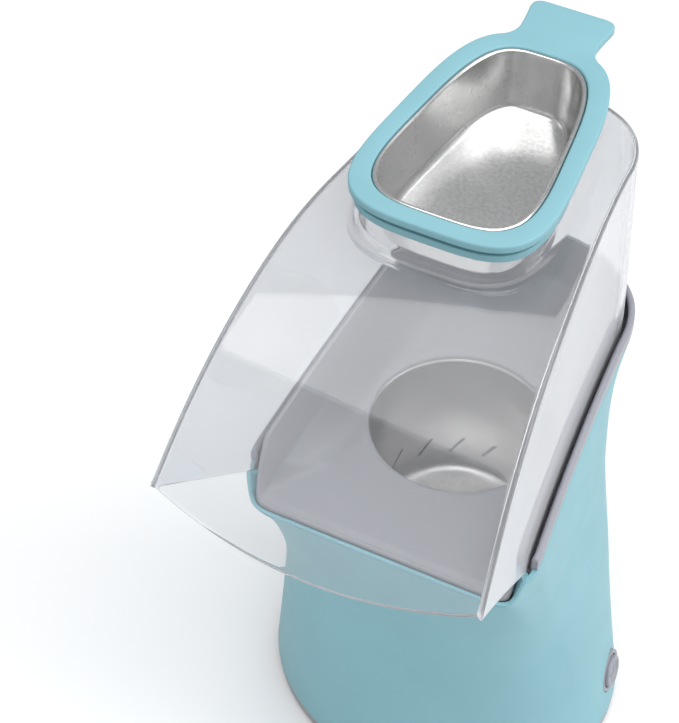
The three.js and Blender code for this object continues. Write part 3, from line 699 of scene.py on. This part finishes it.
def pouring_deck():
    wall, lip, thick = DECK["wall"], DECK["lip"], DECK["thick"]
    edge = -HOOD_WALL - 3 * GAP
    sill = TRIM["out"] - SHELL - GAP
    inner = base_ring(edge - wall - 3, -SEAT - 4, sill - 6, 3)
    unit = BASE / np.linalg.norm(BASE, axis=1)[:, None]

    def hole(r, z):
        return at_height(unit * r, z)

    def floor(t, drop):
        ring = mix(inner, hole(DECK["hole_r"], 0), t)
        ring[:, 2] = mix(inner[:, 2], DECK["hole_z"], 1 - (1 - t) ** 2.6) - drop
        return ring

    def lip_ring(a):
        d = edge - wall / 2 + wall / 2 * np.cos(a)
        d_front = sill - wall / 2 + wall / 2 * np.cos(a)
        rise = wall / 2 * np.sin(a)
        return base_ring(d, lip - wall / 2 + rise, d_front, 1.8 + rise)

    top = [lip_ring(a) for a in np.linspace(0, np.pi, 9)]
    steps = [0, 0.02, 0.05, 0.09, 0.14, 0.2, 0.28, 0.37, 0.47, 0.58, 0.7, 0.82, 0.93]
    rings = [
        base_ring(edge, GAP - SEAT, sill, GAP),
        *top,
        *[mix(top[-1], inner, t) for t in (0.3, 0.6, 0.85)],
        *[floor(t, 0) for t in steps],
        hole(DECK["hole_r"] + 0.7, DECK["hole_z"]),
        hole(DECK["hole_r"], DECK["hole_z"] - 0.7),
        hole(DECK["hole_r"], DECK["hole_z"] - thick),
        *[floor(t, thick) for t in steps[:2:-1]],
        base_ring(-LEDGE - 3 * GAP, -SEAT - 6, sill - 3, GAP),
        base_ring(-LEDGE - 3 * GAP, GAP - SEAT, sill - 3, GAP),
    ]
    points, faces = loft(rings)
    make("Pouring_deck", points, faces, DECK_GREY, "base", ["pouring_deck"], 60)


def air_slots():
    """Cutters for the slanted slots round the chamber's wall."""
    half, narrow, tall = AIR_SLOT["half"], AIR_SLOT["narrow"], AIR_SLOT["tall"]
    tilt = np.radians(AIR_SLOT["slant"])
    corners, box_faces = box((-half, half), (-narrow, narrow), (-tall, tall))
    x = corners[:, 0] + CHAMBER["r"]
    y = corners[:, 1] * np.cos(tilt) - corners[:, 2] * np.sin(tilt)
    z = corners[:, 1] * np.sin(tilt) + corners[:, 2] * np.cos(tilt)
    z += CHAMBER["bottom"] + AIR_SLOT["up"]
    points, faces = [], []
    for k in range(AIR_SLOT["count"]):
        a = k / AIR_SLOT["count"] * 2 * np.pi
        first = k * len(corners)
        faces += [tuple(first + i for i in face) for face in box_faces]
        spun = [x * np.cos(a) - y * np.sin(a), x * np.sin(a) + y * np.cos(a), z]
        points.append(np.column_stack(spun))
    return np.vstack(points), faces


def popping_chamber():
    r, wall, top, low = CHAMBER["r"], CHAMBER["wall"], CHAMBER["top"], CHAMBER["bottom"]
    bottom = [(CHAMBER["core"], low), (r - 14, low), (r - 8, low)]
    foot = [(r - 5, low + 0.8), (r - 2.4, low + 2.6), (r - 0.6, low + 5.4), (r, low + 9)]
    bend = [(r, top - 3), (r + 0.5, top - wall - 0.8), (r + 2.0, top - wall)]
    flange = [(CHAMBER["flange"], top - wall), (CHAMBER["flange"], top)]
    bead = [(r - wall + 1.8, top), (r - wall + 0.5, top - 0.7), (r - wall, top - 2)]
    inside = [
        (r - wall, low + 40),
        (r - wall, low + 9.4),
        (r - 1.6, low + 6),
        (r - 3.3, low + 3.4),
        (r - 5.6, low + wall + 0.9),
        (r - 9, low + wall),
        (14, low + wall),
    ]
    cone = [(8, low + 4.4), (3, low + 6.6), (CHAMBER["core"], low + 7)]
    profile = [*bottom, *foot, (r, low + 40), *bend, *flange, *bead, *inside, *cone]
    points, faces = turned(profile, 128)
    cup = make("Popping_chamber", points, faces, CHAMBER_METAL, "base", sharp=50)
    cut(cup, *air_slots())
    smooth(cup, 50)
    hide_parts("popping_chamber")


def slot_line(cx, cy, half, r=1.6, n=8):
    """The outline of a straight slot with round ends."""
    a = np.linspace(-np.pi / 2, np.pi / 2, n)
    right = np.column_stack([cx + half - r + r * np.cos(a), cy + r * np.sin(a)])
    left = np.column_stack([cx - half + r - r * np.cos(a), cy - r * np.sin(a)])
    return np.vstack([right, left])


def base_plate():
    low, high = PLATE["bottom"], PLATE["top"]
    holes = [slot_line(0, 7 * k, 30 - 0.9 * k * k) for k in range(-4, 5)]
    for sx, sy in CORNERS:
        holes.append(circle(sx * PAD["x"], sy * PAD["y"], PAD["r"] + GAP))
        holes.append(circle(sx * BOSS["x"], sy * BOSS["y"], BOSS["hole"]))
    outline = ellipse(PLATE["x"], PLATE["y"])
    floor = extruded("plate_floor", outline, holes, low, low + PLATE["floor"], 0.4, BASE_GREY)
    profile = rounded([(-0.6, low), (-0.6, high), (-5, high), (-5, low)], [1.2, 0.3, 0.3, 0.5], 5)
    rings = [at_height(ellipse(FOOT["x"] + d, FOOT["y"] + d, 200), z) for d, z in profile]
    wall = shape("plate_wall", *loft(rings))
    plate = join("Base_plate", [wall, floor], BASE_GREY)
    smooth(plate, 50)
    settle(plate, "base", ["base_plate"])


def foot_pad(number, side, end):
    r = PAD["r"]
    profile = [(CORE, 0.35), (2, 0.1), (4, 0), (r - 1.6, 0), (r - 1.0, 0.3), (r - 0.7, 0.9)]
    profile += [(r, 3.4), (r, PAD["height"]), (CORE, PAD["height"])]
    points, faces = turned(profile, 64)
    pad = points + (side * PAD["x"], end * PAD["y"], 0)
    node = f"foot_pad_{number}"
    make(node.capitalize(), pad, faces, RUBBER, "base", [node])


def base_screw(number, side, end):
    """A cross-headed screw, cut by the two bars of its cross."""
    r, shank, tip = SCREW["head"], SCREW["shank"], SCREW["tip"]
    face = PLATE["bottom"] + 0.5
    back = face + SCREW["thick"]
    profile = [(CORE, face), (r - 1.2, face), (r - 0.3, face + 0.3), (r, face + 0.9)]
    profile += [(r, back), (shank, back), (shank, tip - 1), (CORE, tip)]
    points, faces = turned(profile, 40)
    at = (side * BOSS["x"], end * BOSS["y"], 0)
    node = f"base_screw_{number}"
    screw = make(node.capitalize(), points + at, faces, STEEL, "base", [node])
    for x, y in ((2.1, 0.45), (0.45, 2.1)):
        bar, bar_faces = box((-x, x), (-y, y), (face - 1, face + 1.3))
        cut(screw, bar + at, bar_faces)
    smooth(screw, 40)


def cord_gland():
    r, bore, flange = GLAND["r"], GLAND["bore"], GLAND["flange"]
    profile = rounded(
        [(bore, -9), (r, -9), (r, 0), (flange, 0), (flange, 2.4), (bore, 2.4)],
        [0.3, 0.5, 0.2, 0.8, 1.2, 0.8],
        5,
    )
    points, faces = turned(profile, 64)
    points = along_y(points, GLAND["y"], GLAND["z"])
    make("Cord_gland", points, faces, RUBBER, "base", ["cord_gland"])


# ---------------------------------------------------------------- the button
def button_ring():
    """The bezel with its flange behind the shell, and the two clips that hold the switch."""
    ring, flange, bore = BUTTON["ring"], BUTTON["flange"], BUTTON["r"] + 0.4
    back, front, rim = -8.5, -6.6, 0.6
    profile = rounded(
        [(bore, back), (flange, back), (flange, front), (ring, front), (ring, rim), (bore, rim)],
        [0.2, 0.3, 0.3, 0.2, 0.9, 0.8],
        6,
    )
    points, faces = turned(profile, 96)
    make("Button_ring", at_button(points), faces, GREY, "base", ["button_ring"], 50)
    for k, side in enumerate((1, -1)):
        clip, faces = box((-5, 5), (side * 10, side * 12), (-24, -7))
        make(f"Switch_clip_{k + 1}", at_button(clip), faces, GREY, "base")


def button_cap():
    """The dished cap on its stem."""
    r, proud, edge = BUTTON["r"], BUTTON["proud"], 1.1
    stem = [(CORE, -9), (4, -9), (4, -5), (r, -5), (r, proud - 1.2)]
    turn = arc((r - edge, proud - edge), (edge, edge), 0.2, np.pi / 2, 6)
    dish = [
        (r - 2.0, proud),
        (r - 2.4, proud - 0.15),
        (r - 2.8, proud - 0.6),
        (r - 3.5, proud - 1.0),
        (4.6, proud - 1.35),
        (2, proud - 1.45),
        (CORE, proud - 1.45),
    ]
    points, faces = turned([*stem, *turn, *dish], 96)
    make("Button_cap", at_button(points), faces, GREY, "button", ["button_cap"], 50)


def power_mark():
    """A raised power mark: a broken ring with a bar in its gap."""
    a = np.radians(np.linspace(130, 410, 40))
    ring = np.column_stack([3.1 * np.cos(a), 3.1 * np.sin(a)])
    bar = np.array([(0, 1.2), (0, 2.6), (0, 4.2)])
    for name, line in ("Button_mark_ring", ring), ("Button_mark_bar", bar):
        points, faces = ridge(line, 0.5, BUTTON["proud"] - 1.5)
        make(name, at_button(points), faces, GREY, "button")


def ridge(line, r, z):
    """A low half-round ridge along a line, its foot sunk just under height z."""
    rings = []
    for p, normal in zip(line, sideways(line)):
        ring = []
        for a in np.linspace(0, np.pi, 7):
            q = p + normal * r * np.cos(a)
            ring.append((*q, z + 0.75 * r * np.sin(a) + 0.05))
        ring.append((*(p - normal * r), z - 0.2))
        ring.append((*(p + normal * r), z - 0.2))
        rings.append(np.array(ring))
    return loft(rings, loop=False, cap=True)


# ---------------------------------------------------------------- the hood
def lean(points):
    """Narrows the hood's back towards its roof."""
    p = np.array(points, float)
    above = SEAM[0][1] + 12
    up = np.maximum(0, (p[:, 2] - above) / (ROOF_Z - above))
    p[:, 0] *= 1 - LEAN * up * smoothstep(p[:, 1], -60, 40)
    p[:, 1] -= LEAN * up * np.maximum(0, p[:, 1] - REAR["y"])
    return p


def lip_line(y):
    """The hood's lower edge: the seat in the trim, then the free edge up to the lip."""
    y = np.asarray(y, float)
    start = TRIM["front"] - 2
    seat = seam_z(np.maximum(y, start)) - SEAT + GAP
    end_y, end_z = LIP["y"] + 1, LIP["z"] - 2.6
    t = np.clip((start - y) / (start - end_y), 0, 1)
    return np.where(y > start, seat, mix(seam_z(start) - SEAT + GAP, end_z, t))


def collar_half(inset, count):
    """The right half of a cup outline, from the middle of its front to that of its back."""
    line = cup_outline(inset, 240)
    part = line[line[:, 0] > 1e-6]
    part = part[np.argsort(np.arctan2(part[:, 1] - CUP["middle"], part[:, 0]))]
    part = np.vstack([[0, line[:, 1].min()], part, [0, line[:, 1].max()]])
    return resample(part, count)


def hood_wall(wall, normal, skin):
    """Rings up the hood's side and round its roof edge; skin is the depth under the face."""
    low = lip_line(wall[:, 1])
    tall = roof_z(wall[:, 1]) - low
    radius = np.minimum(HOOD_EDGE, 0.6 * tall)
    turn = np.maximum(radius - skin, 0.05)
    high = np.minimum(roof_z(wall[:, 1]) - radius, low + tall - skin - 0.06)
    inside = wall - normal * skin
    inside[0, 1] = LIP["y"]
    rings = [np.column_stack([inside, mix(low, high, t)]) for t in HOOD_STEPS]
    for a in np.linspace(0, np.pi / 2, EDGE_STEPS + 1)[1:]:
        line = inside - normal * (turn * (1 - np.cos(a)))[:, None]
        line[0, 1] = LIP["y"]
        line[-1, 0] = 0
        top = roof_z(line[:, 1]) - skin
        rings.append(np.column_stack([line, mix(high, top, np.sin(a))]))
    return rings


def roof_rings(edge, inner, skin):
    """Rings over the roof from its edge to an inner line, bulged forward at the lip."""
    fade = smoothstep(-edge[:, 1], -LIP["y"] - 90, -LIP["y"])
    rings = []
    for t in np.linspace(0, 1, ROOF_STEPS + 1)[1:]:
        line = mix(edge, inner, t)
        across = np.clip(line[:, 0] / edge[0, 0], 0, 1)
        line[:, 1] -= LIP["bulge"] * (1 - across**2) * fade
        ring = np.column_stack([line, roof_z(line[:, 1]) - skin])
        rings.append(mix(lean(ring), ring, t * t))
    return rings


def collar_rings(foot, skin):
    """Rings up the collar from its foot's heights."""
    steps = COLLAR_FACE if skin == 0 else COLLAR_BORE
    heights = [foot + rise for _, rise in steps]
    insets = [inset for inset, _ in steps]
    for t in np.linspace(0.2, 1, 5):
        heights.append(mix(foot + steps[-1][1], COLLAR["top"], t))
        insets.append(steps[-1][0])
    return [np.column_stack([collar_half(d, len(foot)), z]) for d, z in zip(insets, heights)]


def hood_sheet(skin):
    """One face of the hood's right half: rings up the wall and over the roof, rings up the
    collar, and the number of columns that pass ahead of the collar."""
    n = HOOD_COLUMNS
    wall = resample(hood_half(), n)
    normal = sideways(wall)
    normal[-1] = (0, 1)
    side = hood_wall(wall, normal, skin)
    edge = side[-1][:, :2]
    front_y = CUP["y0"] - COLLAR["out"]
    turn_y = front_y - 6
    ahead = int((wall[:, 1] < turn_y).sum())
    lead = np.column_stack([np.zeros(ahead), edge[:ahead, 1]])
    lead[:, 1] = np.interp(lead[:, 1], [LIP["y"], turn_y], [LIP["y"], front_y - 1])
    inner = np.vstack([lead, collar_half(-COLLAR["out"], n - ahead)])
    rings = [lean(r) for r in side] + roof_rings(edge, inner, skin)
    return rings, collar_rings(rings[-1][ahead:, 2], skin), ahead


def mirrored_sheet(skin):
    """Points and faces of both halves of one face of the hood."""
    rings, collar, ahead = hood_sheet(skin)
    n, count = HOOD_COLUMNS, HOOD_COLUMNS - ahead
    points = np.vstack(rings + collar)
    last, start = (len(rings) - 1) * n + ahead, len(rings) * n
    faces = []
    for i in range(len(rings) - 1):
        for k in range(n - 1):
            a, b = i * n + k, (i + 1) * n + k
            faces.append((a, a + 1, b + 1, b))
    rows = [last] + [start + i * count for i in range(len(collar))]
    for a, b in zip(rows, rows[1:]):
        for k in range(count - 1):
            faces.append((a + k, a + k + 1, b + k + 1, b + k))
    middle = {i * n + n - 1 for i in range(len(rings))}
    middle |= {(len(rings) - 1) * n + k for k in range(ahead + 1)}
    middle |= set(rows) | {r + count - 1 for r in rows}
    points[sorted(middle), 0] = 0
    twin = {}
    extra = []
    for i, p in enumerate(points):
        if i in middle:
            twin[i] = i
        else:
            twin[i] = len(points) + len(extra)
            extra.append(p * (-1, 1, 1))
    faces += [tuple(twin[i] for i in reversed(f)) for f in faces]
    return np.vstack([points, extra]), faces


def closed_sheet(face, back, faces, radius):
    """A solid between two matching sheets, with a rounded rim along their free edges."""
    owner = {}
    for f in faces:
        for a, b in zip(f, f[1:] + f[:1]):
            owner[(a, b)] = f
    free = [e for e in owner if (e[1], e[0]) not in owner]
    after = dict(free)
    before = {b: a for a, b in after.items()}
    total = {a: [] for a in after}
    for f in faces:
        for i in f:
            if i in total:
                total[i].append(face[list(f)].mean(0))
    shift = len(face)
    points = list(np.vstack([face, back]))
    out = list(faces) + [tuple(shift + i for i in reversed(f)) for f in faces]
    angles = np.linspace(0, np.pi, 7)[1:-1]
    longest = 0.9
    rim = {}
    for i in after:
        along = face[after[i]] - face[before[i]]
        along /= np.linalg.norm(along)
        inward = np.mean(total[i], 0) - face[i]
        inward -= along * inward.dot(along)
        reach = np.linalg.norm(inward)
        inward /= reach
        r = min(radius, reach * longest)
        a, b = face[i] + inward * r, back[i] + inward * r
        points[i], points[shift + i] = a, b
        middle, half = (a + b) / 2, (a - b) / 2
        rim[i] = [i]
        for t in angles:
            rim[i].append(len(points))
            points.append(middle + half * np.cos(t) - inward * r * np.sin(t))
        rim[i].append(shift + i)
    for a, b in free:
        for k in range(len(rim[a]) - 1):
            out.append((rim[b][k], rim[a][k], rim[a][k + 1], rim[b][k + 1]))
    return points, out


def chute_hood():
    face, faces = mirrored_sheet(0)
    back, _ = mirrored_sheet(HOOD_WALL)
    points, faces = closed_sheet(face, back, faces, 0.9)
    make("Chute_hood", points, faces, CLEAR, "hood", ["chute_hood"], 60)


# ---------------------------------------------------------------- the butter cup
def tab_outline():
    """The cup frame's outline with its handle at the back."""
    root, half, end, corner = TAB["root"], TAB["half"], TAB["end"], TAB["corner"]
    back = CUP["y1"]
    rim = cup_outline(0, 320)
    keep = rim[~((rim[:, 1] > back - 8) & (np.abs(rim[:, 0]) < root + 6))]
    right = keep[keep[:, 0] >= 0]
    right = right[np.argsort(np.arctan2(right[:, 1] - CUP["middle"], right[:, 0]))]
    meet, bend = (root, back + 6), (half - 0.3, end - corner)
    neck = bezier(right[-1], (root + 0.3, back - 1.5), meet, 12)
    side = bezier(meet, (root + 0.6, end - corner - 6), bend, 8)
    tip = bezier(bend, (half + 0.6, end), (half - corner, end), 12)
    line = np.vstack([right, neck[1:], side[1:], tip[1:]])
    return np.vstack([line, (line * (-1, 1))[::-1]])


def cup_rings(profile, n):
    """Rings from a profile of (inset from the cup's outline, height)."""
    return [at_height(cup_outline(inset, n), z) for inset, z in profile]


def cup_frame():
    top, hole = CUP["top"], cup_outline(CUP_BAND, 200)
    rim = extruded("Cup_frame", tab_outline(), [hole], top - CUP_FLANGE, top, 1.1, TEAL)
    smooth(rim, 50)
    settle(rim, "cup", ["cup_frame"])


def cup_ring():
    inset, neck, inside = CUP_RING["inset"], CUP_RING["neck"], CUP_BAND + 1
    low, shoulder, high = CUP_RING["bottom"], CUP_RING["shoulder"], CUP_RING["top"]
    outside = [(inset, low), (inset, shoulder), (neck, shoulder), (neck, high)]
    corners = [*outside, (inside, high), (inside, low)]
    profile = rounded(corners, [1.2, 0.6, 0.2, 0.2, 0.3, 0.6], 6)
    points, faces = loft(cup_rings(profile, 220))
    make("Cup_ring", points, faces, TEAL, "cup", ["cup_ring"], 50)


def cup_tray():
    """A drawn tray: a rolled lip, a wall with draft, a rounded foot and a mounting flange."""
    top, low, wall = CUP["top"], TRAY["bottom"], TRAY["wall"]
    draft, flange = TRAY["draft"], TRAY["flange"]
    face = CUP_BAND + GAP
    seat = top - CUP_FLANGE - GAP
    profile = [
        (face + 30, low),
        *arc((face + draft + 5, low + 4.5), (4, 4.5), 1.5 * np.pi, np.pi, 7),
        (face + 1, top - 3 - wall),
        (face - flange, seat - wall),
        (face - flange, seat),
        (face, seat),
        *arc((face + 1.1, top - 1.5), (1.1, 1.1), np.pi, 0, 11),
        (face + 2.3, top - 3.4),
        (face + 2.2 + draft * 0.5, (top + low) / 2),
        *arc((face + draft + 6.2, low + wall + 4), (4, 4), np.pi, 1.5 * np.pi, 9),
        (face + 20, low + wall),
        (face + 26, low + wall),
    ]
    points, faces = loft(cup_rings(profile, 200), loop=False, cap=True)
    make("Cup_tray", points, faces, ALUMINIUM, "cup", ["cup_tray"], 50)


# ---------------------------------------------------------------- inside pieces
def carried_over():
    """CAD pieces whose shape is right get their own materials."""
    looks = {
        STEEL: ["air_jacket", "motor", "motor_bracket", "motor_shaft", "thermostat", "thermal_fuse"],
        MICA: ["heater_former"],
        NICHROME: ["heater_wire"],
        DARK: ["fan_wheel", "switch_module"],
        BOARD: ["rectifier_board"],
    }
    for look, names in looks.items():
        for name in names:
            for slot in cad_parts[name].material_slots:
                slot.material = look


# ---------------------------------------------------------------- the room
def studio_floor():
    size = 6.0
    mesh = bpy.data.meshes.new("Floor")
    corners = [(-size, -size, 0), (size, -size, 0), (size, size, 0), (-size, size, 0)]
    mesh.from_pydata(corners, [], [(0, 1, 2, 3)])
    mesh.materials.append(material("floor", (0.90, 0.90, 0.905), 0.7)[0])
    link("Floor", mesh)


def area(name, at, aim, size, power):
    """A rectangular lamp at a place, aimed at another."""
    lamp = bpy.data.lights.new(name, "AREA")
    lamp.shape = "RECTANGLE"
    lamp.size, lamp.size_y = size
    lamp.energy = power
    obj = link(name, lamp)
    obj.location = at
    way = Vector(aim) - Vector(at)
    obj.rotation_euler = way.to_track_quat("-Z", "Y").to_euler()


def studio_lights():
    world = bpy.data.worlds.new("Studio")
    bpy.context.scene.world = world
    world.use_nodes = True
    back = world.node_tree.nodes["Background"]
    back.inputs["Color"].default_value = (0.97, 0.985, 1.0, 1)
    back.inputs["Strength"].default_value = 0.45

    area("Overhead", (0.5, -0.15, 2.4), (0.1, 0, 0), (3.4, 2.5), 68)
    area("Right", (2.2, 0.6, 1.0), (0, 0, 0.2), (1.2, 1.8), 20)
    area("Left", (-1.5, -1.1, 0.9), (0, 0, 0.3), (0.8, 1.2), 2)

    view = bpy.context.scene.view_settings
    view.view_transform = "Standard"
    view.look = "None"
    view.exposure = 0.0
    view.gamma = 1.0


def camera():
    """Above, in front and to the right, as the object is shown."""
    cam = bpy.data.cameras.new("Camera")
    cam.lens = 109.355
    cam.sensor_width = 36
    cam.clip_end = 50
    obj = link("Camera", cam)
    azimuth, tilt = np.radians(27.0), np.radians(47.2)
    right = Vector((np.cos(azimuth), np.sin(azimuth), 0))
    back = Vector((np.sin(azimuth) * np.cos(tilt), -np.cos(azimuth) * np.cos(tilt), np.sin(tilt)))
    up = back.cross(right)
    obj.matrix_world = Matrix((right, up, back)).transposed().to_4x4()
    obj.location = (0.2833, -0.6646, 1.0599)
    bpy.context.scene.camera = obj


camera()
base_shell()
screw_posts()
rim_trim()
pouring_deck()
popping_chamber()
base_plate()
for number, corner in enumerate(CORNERS, 1):
    foot_pad(number, *corner)
    base_screw(number, *corner)
cord_gland()
button_ring()
button_cap()
power_mark()
chute_hood()
cup_frame()
cup_ring()
cup_tray()
carried_over()
studio_floor()
studio_lights()
